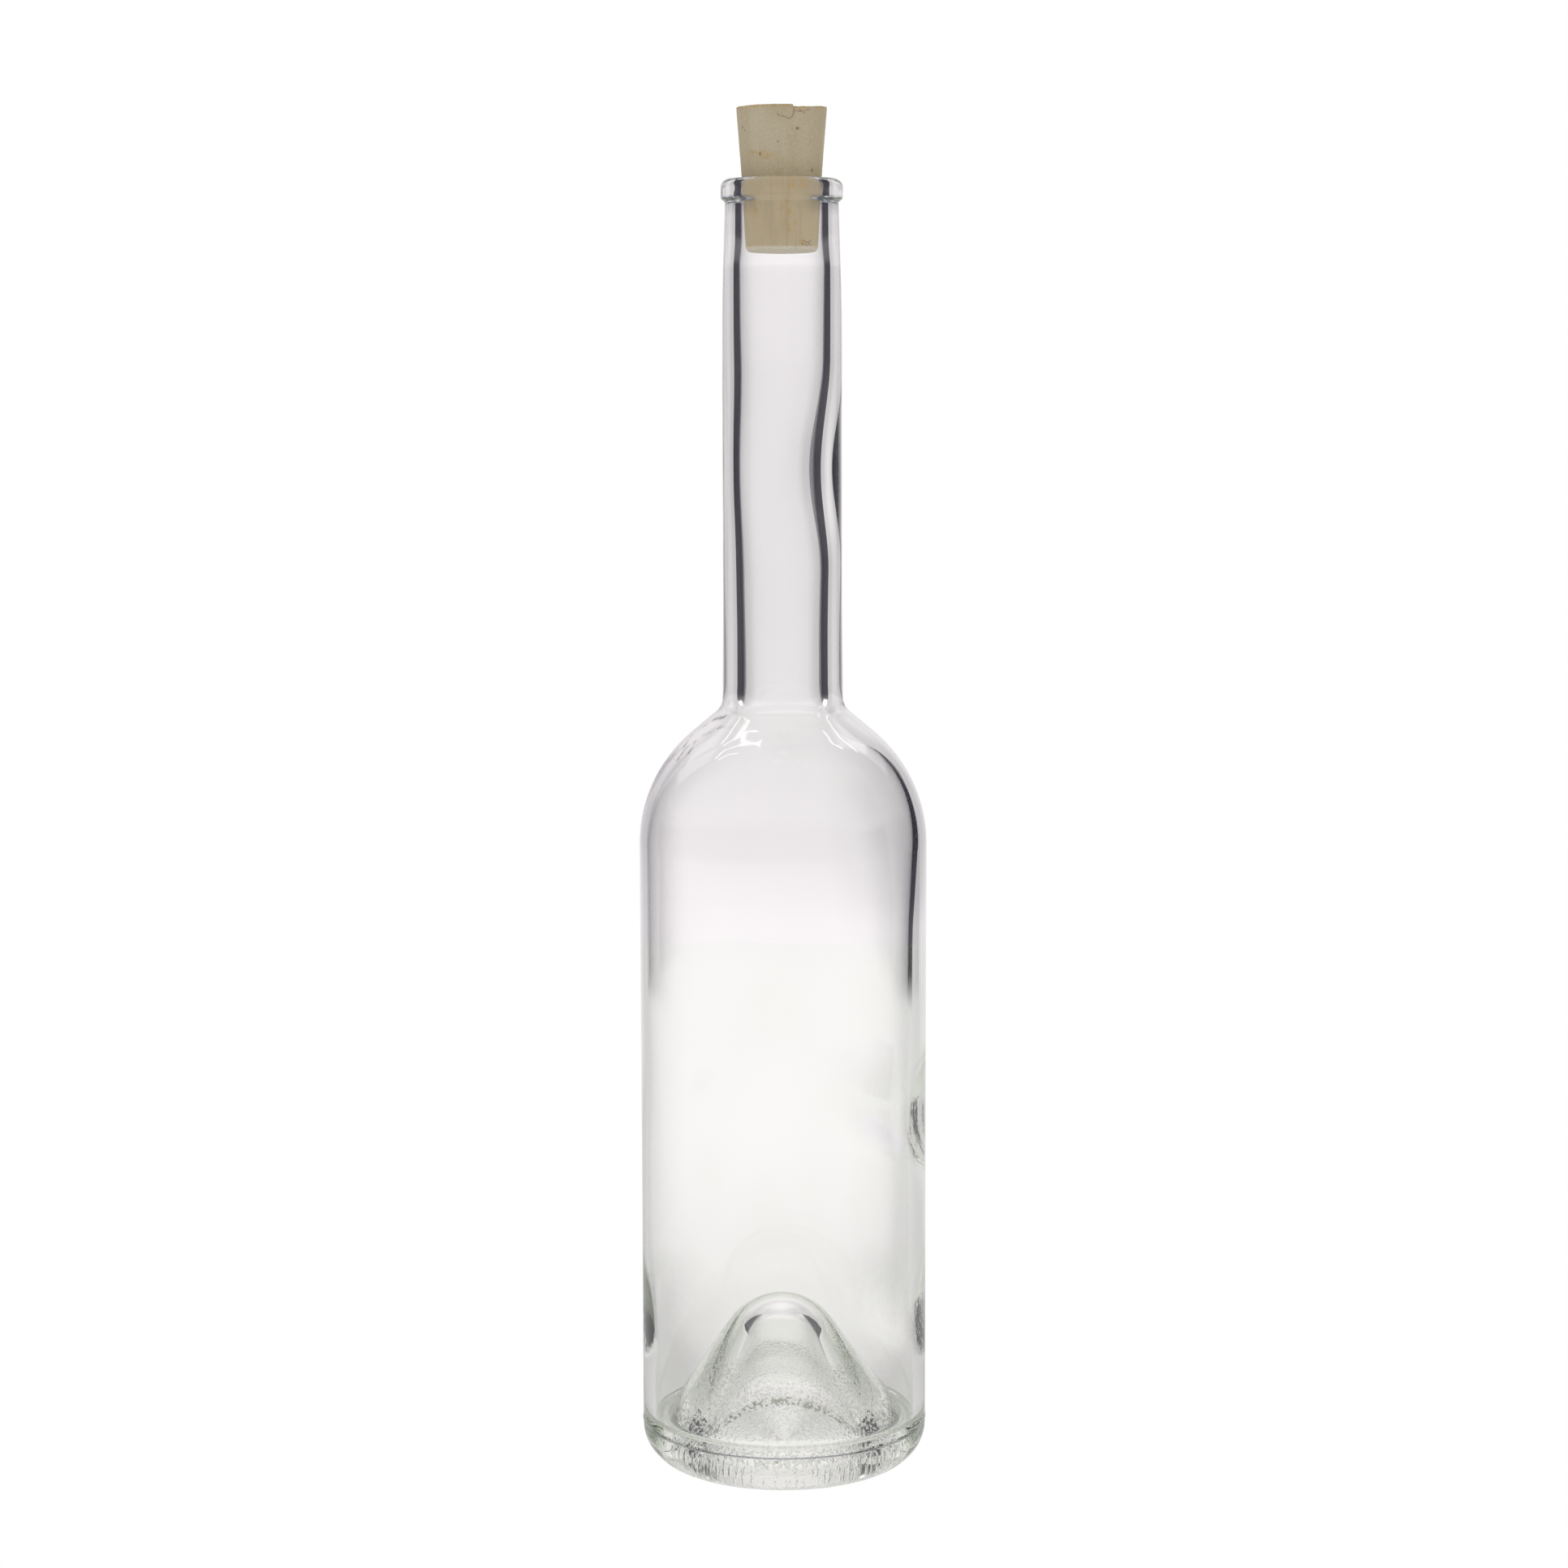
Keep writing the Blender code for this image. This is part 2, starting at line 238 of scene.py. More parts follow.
def outer_outline():
    """The rows of the outside, from the middle of the lip's rim down to the heel and in under the punt."""
    neck_top_radius = MOUTH_RADIUS + MOUTH_WALL
    neck_radius = BORE_RADIUS + NECK_WALL
    neck_foot_radius = neck_radius + NECK_FOOT_SWELL
    lip_radius = neck_top_radius + LIP_PROUD
    lip_foot = BOTTLE_HEIGHT - LIP_HEIGHT
    neck_top = lip_foot - LIP_UNDER_DROP
    neck_foot = SHOULDER_CORNER_HEIGHT + (BODY_RADIUS - neck_foot_radius) / math.tan(SHOULDER_SLOPE)
    ring_radius = BODY_RADIUS - HEEL_RADIUS
    ring_edge = (ring_radius - BEARING_WIDTH, 0.0, BEARING_EDGE_RADIUS, PUNT_STEP)
    return rounded_outline([
        (MOUTH_RADIUS + MOUTH_WALL / 2, BOTTLE_HEIGHT, 0.0, FINE_STEP),
        (lip_radius, BOTTLE_HEIGHT, LIP_EDGE_RADIUS, FINE_STEP),
        (lip_radius, lip_foot, LIP_UNDER_RADIUS, FINE_STEP / 3),
        (neck_top_radius, neck_top, LIP_UNDER_RADIUS, PLAIN_STEP),
        (neck_radius, neck_top - NECK_TOP_TAPER_LENGTH, BODY_EASE, PLAIN_STEP),
        (neck_radius, neck_foot + NECK_FOOT_TAPER_LENGTH, BODY_EASE, PLAIN_STEP),
        (neck_foot_radius, neck_foot, NECK_FOOT_RADIUS, CURVED_STEP),
        (BODY_RADIUS, SHOULDER_CORNER_HEIGHT, SHOULDER_RADIUS, PLAIN_STEP),
        (BODY_RADIUS, SEAM_HEIGHT + SEAM_HALF_WIDTH, SEAM_SOFTNESS, FINE_STEP / 3),
        (BODY_RADIUS + SEAM_PROUD, SEAM_HEIGHT, SEAM_SOFTNESS, FINE_STEP / 3),
        (BODY_RADIUS, SEAM_HEIGHT - SEAM_HALF_WIDTH, SEAM_SOFTNESS, FINE_STEP),
        (BODY_RADIUS, 0.0, HEEL_RADIUS, FINE_STEP),
        ring_edge,
        dome_corner(ring_edge, PUNT_DEPTH, PUNT_DOME_RADIUS, PUNT_STEP),
        (0.0, PUNT_DEPTH, 0.0, PUNT_STEP),
    ])


def segment_angles(segments):
    """The angle of each point of a row, in equal steps from +X."""
    return np.arange(segments) * 2 * math.pi / segments


def turned_points(outline, segments):
    """Turns an outline about the Z axis: the point of row i and segment j is (r cos a, r sin a, z)."""
    angles = segment_angles(segments)
    radius = outline[:, 0][:, None]
    height = np.broadcast_to(outline[:, 1][:, None], (len(outline), segments))
    return np.stack([radius * np.cos(angles), radius * np.sin(angles), height], axis=-1)


def turned_normals(outline, segments):
    """The turned outline's outward normals: each row's run, turned a quarter turn to its left."""
    run = np.gradient(outline, axis=0)
    run /= np.linalg.norm(run, axis=1)[:, None]
    return turned_points(np.stack([-run[:, 1], run[:, 0]], axis=1), segments)


def closed_mesh(name, points):
    """A closed mesh from rows of turned points. The first and last row are one point each, on the axis."""
    rows, segments = points.shape[:2]
    inner = points[1:-1].reshape(-1, 3)
    vertices = np.concatenate([points[:1, 0], inner, points[-1:, 0]])
    index = 1 + np.arange((rows - 2) * segments).reshape(rows - 2, segments)
    ahead = np.roll(index, -1, axis=1)
    quads = np.stack([index[:-1], index[1:], ahead[1:], ahead[:-1]], axis=-1).reshape(-1, 4)
    first = np.stack([np.zeros(segments, int), index[0], ahead[0]], axis=-1)
    last = np.stack([index[-1], np.full(segments, len(vertices) - 1), ahead[-1]], axis=-1)
    mesh = bpy.data.meshes.new(name)
    mesh.from_pydata(vertices.tolist(), [], quads.tolist() + first.tolist() + last.tolist())
    mesh.shade_smooth()
    mesh.update()
    return mesh


def add_grid_attribute(mesh, name, values):
    """Stores a value for each point of a closed_mesh, from a grid of rows by segments."""
    flat = np.concatenate([values[:1, 0], values[1:-1].ravel(), values[-1:, 0]])
    mesh.attributes.new(name, "FLOAT", "POINT").data.foreach_set("value", flat.astype(np.float32))


def add_piece(name, mesh, material):
    """Puts a mesh and its material into the scene as one object."""
    mesh.materials.append(material)
    piece = bpy.data.objects.new(name, mesh)
    bpy.context.scene.collection.objects.link(piece)
    return piece


# Where blown glass is uneven. A thick spot is (angle, height, half length, half angle, depth), in degrees
# and mm. BODY_LEAN makes the body's wall thicker towards +X and thinner on the other side.
NECK_SPOT = (0.0, 239.0, 25.0, 180.0, 2.1)
BODY_SPOTS = (
    (-40.0, 162.0, 32.0, 40.0, 1.0),
    (-12.0, 156.0, 22.0, 70.0, 0.6),
)
LOWER_SPOTS = (
    (28.0, 84.0, 15.0, 60.0, 2.3),
    (30.0, 36.0, 15.0, 60.0, 1.7),
    (157.0, 36.0, 14.0, 50.0, 1.05),
)
BODY_SPOT_FADE = 14.0 * MM
BODY_SPOT_TOP = 178.0 * MM
BODY_LEAN = 0.95 * MM
BODY_LEAN_FOOT = 50.0 * MM
BODY_LEAN_TOP = 185.0 * MM
BODY_LEAN_FADE = 25.0 * MM
# The punt's top stays even: the wall takes its unevenness from the first distance from the axis, and all
# of it from the second
WALL_START_RADIUS = FOOT_BORE_RADIUS / 2
WALL_FULL_RADIUS = FOOT_BORE_RADIUS * 0.9
WALL_WAVE_SIZE = 30.0 * MM
WALL_WAVE_DEPTH = 0.05 * MM
SKIN_WAVE_SIZE = 24.0 * MM
SKIN_WAVE_DEPTH = 0.012 * MM
LIP_WAVE_SIZE = 4.0 * MM
LIP_WAVE_DEPTH = 0.05 * MM
LIP_WAVE_REACH = LIP_HEIGHT * 0.8
# The edge that the bottle stands on: the height up to which a row counts as standing, and the height over
# which the waves of the outside fade in
STANDING_HEIGHT = MM / 10
RESTING_FADE = 1.0 * MM

# The stippled places: the punt's flank and foot, and the edge that the bottle stands on
STIPPLE_TOP = 26.0 * MM
STIPPLE_FADE = 9.0 * MM
STIPPLE_START = 0.5 * MM
STIPPLE_FULL = 3.0 * MM
HEEL_STIPPLE_TOP = 3.0 * MM
HEEL_STIPPLE_STRENGTH = 4.0
LUMP_SIZE = 2.2 * MM
LUMP_DEPTH = 0.012 * MM

# The painted shade under the lip, a dark line darkest at the sides towards ±X: how far it reaches, its
# strength, its mean and waves along the lip, and from which share of the radius sideways it starts and is
# whole
LIP_SHADE_REACH = LIP_UNDER_DROP * 1.8
LIP_SHADE_STRENGTH = 1.4
LIP_SHADE_MEAN = 0.8
LIP_SHADE_WAVE = 0.3
LIP_SHADE_SIDES = (0.35, 0.65)


def thick_spot(spot, height, angles):
    """How far a thick spot moves the inner wall: its depth, by a hump along Z and one round the axis."""
    centre, middle, half_length, half_angle, depth = spot
    along = hump(height, middle * MM, half_length * MM)
    return depth * MM * along * hump(angle_from(angles, centre * DEGREE), 0.0, half_angle * DEGREE)


def wall_offset(points, angles):
    """How far the inner wall moves towards the axis: thick spots, the body's lean and slow random waves."""
    height = points[..., 2]
    above_trough = smooth_step(height, FLOOR_HEIGHT, FLOOR_HEIGHT * 2)
    above_trough = above_trough * (np.arange(len(points)) > np.argmin(points[:, 0, 2]))[:, None]
    spots = sum(thick_spot(spot, height, angles) for spot in BODY_SPOTS)
    spots = spots * fade_out(height, BODY_SPOT_TOP, BODY_SPOT_FADE)
    spots = spots + sum(thick_spot(spot, height, angles) for spot in (NECK_SPOT,) + LOWER_SPOTS)
    above_foot = smooth_step(height, BODY_LEAN_FOOT - BODY_LEAN_FADE, BODY_LEAN_FOOT)
    below_top = fade_out(height, BODY_LEAN_TOP, BODY_LEAN_FADE)
    spots = spots + BODY_LEAN * above_foot * below_top * np.cos(angles)
    waves = WALL_WAVE_DEPTH * soft_noise(points, WALL_WAVE_SIZE, seed=3)
    return spots * above_trough + waves * fade_out(height, cork_low.z, WALL_WAVE_SIZE)


def peel_mask(points, angles):
    """1 where the wall's inside looks hammered, which is over the lower thick spots."""
    spots = sum(thick_spot(spot, points[..., 2], angles) / (spot[4] * MM) for spot in LOWER_SPOTS)
    return np.clip(spots, 0, 1)


def inner_wall():
    """The inside: its points, moved towards the axis by wall_offset, and the mask of its hammered places."""
    angles = segment_angles(GLASS_SEGMENTS)
    points = turned_points(inner_outline(), GLASS_SEGMENTS)
    radius = np.hypot(points[..., 0], points[..., 1])
    on_wall = smooth_step(radius, WALL_START_RADIUS, WALL_FULL_RADIUS)
    peel = peel_mask(points, angles) * on_wall
    inwards = 1 - wall_offset(points, angles) * on_wall / np.maximum(radius, MM)
    points[..., :2] *= inwards[..., None]
    return points, peel


def stipple_mask(height, under):
    """How strongly the glass is stippled: below it in a band of heights, and round the standing edge."""
    flank = fade_out(height, STIPPLE_TOP, STIPPLE_FADE) * smooth_step(height, STIPPLE_START, STIPPLE_FULL)
    return flank * under + HEEL_STIPPLE_STRENGTH * fade_out(height, HEEL_STIPPLE_TOP, HEEL_STIPPLE_TOP / 2)


def painted_shade_mask(points, height, not_under):
    """Painted shade on the outside: a dark line along the heel's seam, and a wavy one under the lip, darkest
    at the sides towards ±X.
    """
    seam = hump(height, SEAM_HEIGHT - SEAM_HALF_WIDTH / 2, SEAM_HALF_WIDTH) * not_under
    along_lip = hump(height, BOTTLE_HEIGHT - LIP_HEIGHT - LIP_UNDER_DROP / 2, LIP_SHADE_REACH)
    sideways = np.abs(np.cos(segment_angles(GLASS_SEGMENTS)))
    under_lip = LIP_SHADE_STRENGTH * along_lip * smooth_step(sideways, *LIP_SHADE_SIDES)
    waves = LIP_SHADE_MEAN + LIP_SHADE_WAVE * soft_noise(points, LIP_WAVE_SIZE, seed=23)
    return np.clip(seam + under_lip * waves * not_under, 0, 1)


def outer_wall():
    """The outside: its points, moved along their normals by waves and lumps, its stipple and its lines of
    painted shade.
    """
    outline = outer_outline()[1:]
    points = turned_points(outline, GLASS_SEGMENTS)
    height = points[..., 2]
    under = np.arange(len(outline))[:, None] > np.argmax(outline[:, 1] < STANDING_HEIGHT)
    stipple = stipple_mask(height, under)
    skin = SKIN_WAVE_DEPTH * soft_noise(points, SKIN_WAVE_SIZE, seed=5)
    skin = skin * smooth_step(height, SEAM_HEIGHT, SEAM_HEIGHT * 2)
    lumps = LUMP_DEPTH * soft_noise(points, LUMP_SIZE, seed=7) * stipple * under
    on_lip = hump(height, BOTTLE_HEIGHT - LIP_HEIGHT / 2, LIP_WAVE_REACH)
    skin = skin + LIP_WAVE_DEPTH * soft_noise(points, LIP_WAVE_SIZE, seed=19) * on_lip
    outwards = (skin + lumps) * smooth_step(height, 0.0, RESTING_FADE)
    moved = points + turned_normals(outline, GLASS_SEGMENTS) * outwards[..., None]
    return moved, stipple, painted_shade_mask(moved, height, ~under)


def make_glass(material):
    """The glass: the rows of the inside from the punt's top up, then those of the outside down and under."""
    inside, peel = inner_wall()
    outside, stipple, painted_shade = outer_wall()
    mesh = closed_mesh("glass", np.concatenate([inside, outside]))
    bare_inside = np.zeros(inside.shape[:2])
    bare_outside = np.zeros(outside.shape[:2])
    add_grid_attribute(mesh, "stipple", np.concatenate([bare_inside, stipple]))
    add_grid_attribute(mesh, "peel", np.concatenate([peel, bare_outside]))
    add_grid_attribute(mesh, "painted_shade", np.concatenate([bare_inside, painted_shade]))
    return add_piece("glass", mesh, material)


# The cork's outline and the steps of its mesh
CORK_SEGMENTS = 480
CORK_STEP = 0.23 * MM
CORK_END_STEP = 0.5 * MM
CORK_CLEARANCE = 0.3 * MM
CORK_TOP_EDGE_RADIUS = 0.3 * MM
CORK_WAIST_EASE = 40.0 * MM
CORK_FOOT_RADIUS = 8.45 * MM
CORK_FOOT_EDGE_RADIUS = 0.15 * MM
CORK_FOOT_HEIGHT = 1.0 * MM
CORK_FLAT_RADIUS = 8.0 * MM
CORK_FOOT_PLACE = cork_low.z + 0.4 * MM
CORK_FLAT_HEIGHT = 0.2 * MM
CORK_FLAT_EDGE_RADIUS = 0.6 * MM

# Marks on the cork. A place is (degrees round from the front, mm in height), and sizes are in mm.
CORK_CRACKS = (
    ((-5.1, 319.1), (-2.0, 318.8), (2.1, 318.7), (9.3, 318.1), (13.5, 318.5), (15.8, 319.6), (15.4, 321.4)),
    ((16.0, 320.4), (22.0, 320.0), (30.0, 320.2), (37.1, 320.6)),
    ((23.0, 320.6), (31.0, 319.4)),
    ((33.0, 290.6), (40.0, 290.2), (47.0, 290.9)),
    ((30.0, 289.9), (38.0, 289.7), (45.0, 289.9)),
)
CRACK_WIDTH = 0.09 * MM
CRACK_DEPTH = 0.15 * MM
# Each pit is (angle, height, half width, half length)
CORK_PITS = (
    (-64.2, 316.6, 0.28, 0.35),
    (-58.2, 315.8, 0.22, 0.25),
    (21.5, 316.0, 0.45, 0.4),
    (48.8, 306.7, 0.3, 0.5),
    (-31.4, 310.3, 0.18, 0.5),
    (-5.0, 313.0, 0.15, 0.15),
    (120.0, 312.0, 0.4, 0.6),
    (165.0, 308.0, 0.3, 0.4),
    (-150.0, 317.0, 0.35, 0.5),
    (-112.0, 300.0, 0.4, 0.3),
)
PIT_DEPTH = 0.3 * MM
# From which to which strength of a pit its colour comes in
PIT_SHADE = (0.2, 0.9)
# Each stain is (angle, height, half width, half length)
CORK_STAINS = (
    (-36.0, 310.6, 2.6, 0.5),
    (-20.0, 310.0, 1.6, 0.6),
    (6.0, 300.0, 0.5, 1.3),
    (3.0, 298.2, 0.6, 0.7),
    (8.5, 297.2, 0.8, 0.9),
    (2.0, 294.6, 0.6, 0.7),
    (9.5, 293.4, 0.7, 0.9),
    (19.0, 294.6, 0.4, 0.6),
    (-38.0, 297.6, 1.0, 0.7),
    (30.0, 290.4, 0.8, 0.5),
    (20.0, 303.0, 2.5, 0.5),
    (-45.0, 297.0, 1.5, 0.8),
    (95.0, 311.0, 2.0, 0.8),
    (-170.0, 306.0, 1.0, 3.0),
)
# The rim drops by a step at the first crack's end, rises again by a share of it up to RIM_STEP_END, and is
# whole again at RIM_STEP_CLOSE. It sinks most at the top, and no lower than RIM_REACH.
RIM_STEP_ANGLE = 14.5 * DEGREE
RIM_STEP_EDGE = 1.0 * DEGREE
RIM_STEP_FLAT = 4.0 * DEGREE
RIM_STEP_RISE = 0.8
RIM_STEP_END = 70.0 * DEGREE
RIM_STEP_CLOSE = RIM_STEP_END * 1.2
RIM_STEP_DROP = 0.5 * MM
RIM_STEP_REACH = 8.0 * MM
RIM_REACH = 2.6 * MM
RIM_WAVE_SIZE = 6.0 * MM
RIM_WAVE_DEPTH = 0.03 * MM
# Each chip is (angle, half angle, depth in mm)
RIM_CHIPS = ((130.0, 12.0, 0.2), (-160.0, 20.0, 0.15))
CHIP_HEIGHT = 1.7 * MM
# From which to which strength of a chip its fresh face shows
CHIP_FRESH = (0.25, 0.6)
GRAIN_SIZE = 1.3 * MM
GRAIN_DEPTH = 0.035 * MM
# Fibres are grain drawn out along Z
FIBRE_STRETCH = (1.0, 1.0, 0.08)
FIBRE_DEPTH = 0.02 * MM


def front_angle(points):
    """The angle round the axis from the front, which is -Y, positive towards +X."""
    return np.arctan2(points[..., 0], -points[..., 1])


def cork_outline():
    """The rows of the cork, from the middle of its top, down its side and in under its rounded foot."""
    fit_radius = MOUTH_RADIUS - CORK_CLEARANCE
    return rounded_outline([
        (0.0, cork_high.z, 0.0, CORK_END_STEP),
        (cork_high.x, cork_high.z, CORK_TOP_EDGE_RADIUS, CORK_STEP),
        (fit_radius, BOTTLE_HEIGHT - MOUTH_EDGE_RADIUS, CORK_WAIST_EASE, CORK_STEP),
        (CORK_FOOT_RADIUS, CORK_FOOT_PLACE + CORK_FOOT_HEIGHT, CORK_FOOT_EDGE_RADIUS, CORK_STEP),
        (CORK_FLAT_RADIUS, CORK_FOOT_PLACE + CORK_FLAT_HEIGHT, CORK_FLAT_EDGE_RADIUS, CORK_END_STEP),
        (0.0, CORK_FOOT_PLACE, 0.0, CORK_END_STEP),
    ])


def distance_to_line(across, height, radius, line):
    """The distance from each point of the cork's side to a drawn line, measured on the unrolled side."""
    place = np.stack([across, height], axis=-1)
    near = np.full(height.shape, np.inf)
    for (first_angle, first_height), (last_angle, last_height) in zip(line, line[1:]):
        start = np.stack([radius * first_angle * DEGREE, np.full(height.shape, first_height * MM)], axis=-1)
        end = np.stack([radius * last_angle * DEGREE, np.full(height.shape, last_height * MM)], axis=-1)
        run = end - start
        share = np.clip(((place - start) * run).sum(-1) / (run * run).sum(-1), 0, 1)
        near = np.minimum(near, np.linalg.norm(start + run * share[..., None] - place, axis=-1))
    return near


def blots(across, height, radius, marks):
    """A soft oval at each mark, exp(-(x / width)^2 - (z / length)^2), and the largest one at each point."""
    total = np.zeros(height.shape)
    for angle, middle, width, length in marks:
        x = (across - radius * angle * DEGREE) / (width * MM)
        z = (height - middle * MM) / (length * MM)
        total = np.maximum(total, np.exp(-x * x - z * z))
    return total


def rim_chips(angle, radius, height):
    """The chips of the rim, each a hump round the axis that is cut off below and inwards: mask and depth."""
    chip = np.zeros(height.shape)
    chip_depth = np.zeros(height.shape)
    for middle, half_angle, depth in RIM_CHIPS:
        part = hump(angle_from(angle, middle * DEGREE), 0.0, half_angle * DEGREE)
        part = part * smooth_step(height, cork_high.z - CORK_STEP - CHIP_HEIGHT * part, cork_high.z)
        part = part * smooth_step(radius, cork_high.x - CHIP_HEIGHT, cork_high.x - CORK_STEP)
        chip = np.maximum(chip, part)
        chip_depth = chip_depth + depth * MM * part
    return chip, chip_depth


def rim_drop(points, angle, radius):
    """How far the rim sinks: by the step, in its outer part, and everywhere by slow random waves."""
    step = smooth_step(angle, RIM_STEP_ANGLE, RIM_STEP_ANGLE + RIM_STEP_EDGE)
    step = step * (1 - smooth_step(angle, RIM_STEP_ANGLE + RIM_STEP_FLAT, RIM_STEP_END) * RIM_STEP_RISE)
    step = step * (1 - smooth_step(angle, RIM_STEP_END, RIM_STEP_CLOSE))
    outer_part = smooth_step(radius, cork_high.x - RIM_STEP_REACH, cork_high.x - RIM_STEP_REACH / 2)
    wave = RIM_WAVE_DEPTH * (1 + soft_noise(points, RIM_WAVE_SIZE, seed=17))
    return RIM_STEP_DROP * step * outer_part + wave


def make_cork(material):
    """The cork: its turned outline, moved in by grain, fibres, cracks and pits, and down along its rim."""
    outline = cork_outline()
    points = turned_points(outline, CORK_SEGMENTS)
    angle = front_angle(points)
    radius = np.hypot(points[..., 0], points[..., 1])
    height = points[..., 2]
    across = radius * angle
    on_side = smooth_step(radius, CORK_FLAT_RADIUS, CORK_FOOT_RADIUS)
    near_top = smooth_step(height, cork_high.z - RIM_REACH, cork_high.z)

    line_distance = [distance_to_line(across, height, radius, line) for line in CORK_CRACKS]
    crack = np.exp(-(np.min(line_distance, axis=0) / CRACK_WIDTH) ** 2) * on_side
    pit = blots(across, height, radius, CORK_PITS) * on_side
    stain = blots(across, height, radius, CORK_STAINS) * on_side
    grain = np.abs(soft_noise(points, GRAIN_SIZE, seed=11))
    fibre = soft_noise(points * FIBRE_STRETCH, GRAIN_SIZE, seed=13)
    inset = CRACK_DEPTH * crack + PIT_DEPTH * pit + GRAIN_DEPTH * grain + FIBRE_DEPTH * (1 + fibre)
    chip, chip_depth = rim_chips(angle, radius, height)

    inwards = inset * on_side + GRAIN_DEPTH * grain * (1 - on_side)
    moved = points - turned_normals(outline, CORK_SEGMENTS) * inwards[..., None]
    moved[..., 2] -= rim_drop(points, angle, radius) * near_top + chip_depth
    moved[..., :2] *= (1 - chip_depth / np.maximum(radius, MM))[..., None]
    mesh = closed_mesh("cork", moved)

    # The foot's band, which the material paints paler as painted light from below
    foot_top = CORK_FOOT_PLACE + CORK_FOOT_HEIGHT
    foot = 1 - smooth_step(height, foot_top - CORK_STEP, foot_top + CORK_STEP)
    rim_line = hump(height, cork_high.z - CORK_TOP_EDGE_RADIUS, CORK_TOP_EDGE_RADIUS * 2)
    add_grid_attribute(mesh, "crack", crack)
    add_grid_attribute(mesh, "pit", smooth_step(pit, *PIT_SHADE))
    add_grid_attribute(mesh, "fresh", smooth_step(chip, *CHIP_FRESH))
    add_grid_attribute(mesh, "foot", foot)
    add_grid_attribute(mesh, "stain", np.maximum(stain, rim_line * on_side))
    return add_piece("cork", mesh, material)


def new_material(name):
    """A material with nodes, and its tree and shader."""
    material = bpy.data.materials.new(name)
    material.use_nodes = True
    tree = material.node_tree
    return material, tree, tree.nodes["Principled BSDF"]


def set_values(node, **values):
    """Sets sockets by name, with an underscore for each space."""
    for name, value in values.items():
        node.inputs[name.replace("_", " ")].default_value = value


def connect(tree, value, socket):
    """Links a socket to another one, or sets it to a number or colour."""
    if isinstance(value, bpy.types.NodeSocket):
        tree.links.new(value, socket)
    else:
        socket.default_value = value


def attribute_mask(tree, name):
    """The value that a piece's mesh stores under a name."""
    node = tree.nodes.new("ShaderNodeAttribute")
    node.attribute_name = name
    return node.outputs["Fac"]


def math_node(tree, operation, *values):
    """Joins values, each a socket or a number."""
    node = tree.nodes.new("ShaderNodeMath")
    node.operation = operation
    for socket, value in zip(node.inputs, values):
        connect(tree, value, socket)
    return node.outputs["Value"]


def vector_node(tree, operation, *vectors, result="Vector"):
    """Joins vectors, each a socket."""
    node = tree.nodes.new("ShaderNodeVectorMath")
    node.operation = operation
    for socket, vector in zip(node.inputs, vectors):
        connect(tree, vector, socket)
    return node.outputs[result]


def mix_colours(tree, factor, first, second, blend="MIX"):
    """Mixes two colours, each a socket or a colour, by a factor that is a socket or a number."""
    node = tree.nodes.new("ShaderNodeMix")
    node.data_type = "RGBA"
    node.blend_type = blend
    # Several sockets of this node share a name: these are its colours A and B, and the mixed colour
    colour_a, colour_b, mixed = node.inputs[6], node.inputs[7], node.outputs[2]
    for socket, value in zip((node.inputs["Factor"], colour_a, colour_b), (factor, first, second)):
        connect(tree, value, socket)
    return mixed


def lay_over(tree, colour, mask, share, tint, blend="MIX"):
    """Lays a colour over another one where a mask is, by a share of the mask."""
    return mix_colours(tree, math_node(tree, "MULTIPLY", mask, share), colour, tint, blend)


def cut_node(tree, value, start, end):
    """A smooth step of a value, from 0 at the start to 1 at the end. Each is a socket or a number."""
    node = tree.nodes.new("ShaderNodeMapRange")
    node.interpolation_type = "SMOOTHSTEP"
    for name, source in (("Value", value), ("From Min", start), ("From Max", end)):
        connect(tree, source, node.inputs[name])
    return node.outputs["Result"]


def object_place(tree):
    """The place of each point of a surface, in the object's own coordinates."""
    return tree.nodes.new("ShaderNodeTexCoord").outputs["Object"]


def mask_group(name, **inputs):
    """An empty node group with named inputs that puts out one mask, and the sockets of its inputs."""
    group = bpy.data.node_groups.new(name, "ShaderNodeTree")
    for label, value in inputs.items():
        kind = "NodeSocketVector" if isinstance(value, tuple) else "NodeSocketFloat"
        socket = group.interface.new_socket(label, in_out="INPUT", socket_type=kind)
        socket.default_value = value
    group.interface.new_socket("Mask", in_out="OUTPUT", socket_type="NodeSocketFloat")
    return group, group.nodes.new("NodeGroupInput").outputs


def finish_group(group, mask):
    """Puts the mask out of its group."""
    group.links.new(mask, group.nodes.new("NodeGroupOutput").inputs["Mask"])
    return group


def grain_group():
    """Noise cut to a mask, from 0 below Low to 1 above High. Stretch draws it out along Z."""
    group, inputs = mask_group("grain", Size=1.0 * MM, Stretch=1.0, Detail=2.0, Low=0.3, High=0.7)
    flatten = group.nodes.new("ShaderNodeCombineXYZ")
    set_values(flatten, X=1.0, Y=1.0)
    group.links.new(math_node(group, "DIVIDE", 1.0, inputs["Stretch"]), flatten.inputs["Z"])
    noise = group.nodes.new("ShaderNodeTexNoise")
    stretched = vector_node(group, "MULTIPLY", object_place(group), flatten.outputs["Vector"])
    group.links.new(stretched, noise.inputs["Vector"])
    group.links.new(math_node(group, "DIVIDE", 1.0, inputs["Size"]), noise.inputs["Scale"])
    group.links.new(inputs["Detail"], noise.inputs["Detail"])
    return finish_group(group, cut_node(group, noise.outputs["Fac"], inputs["Low"], inputs["High"]))


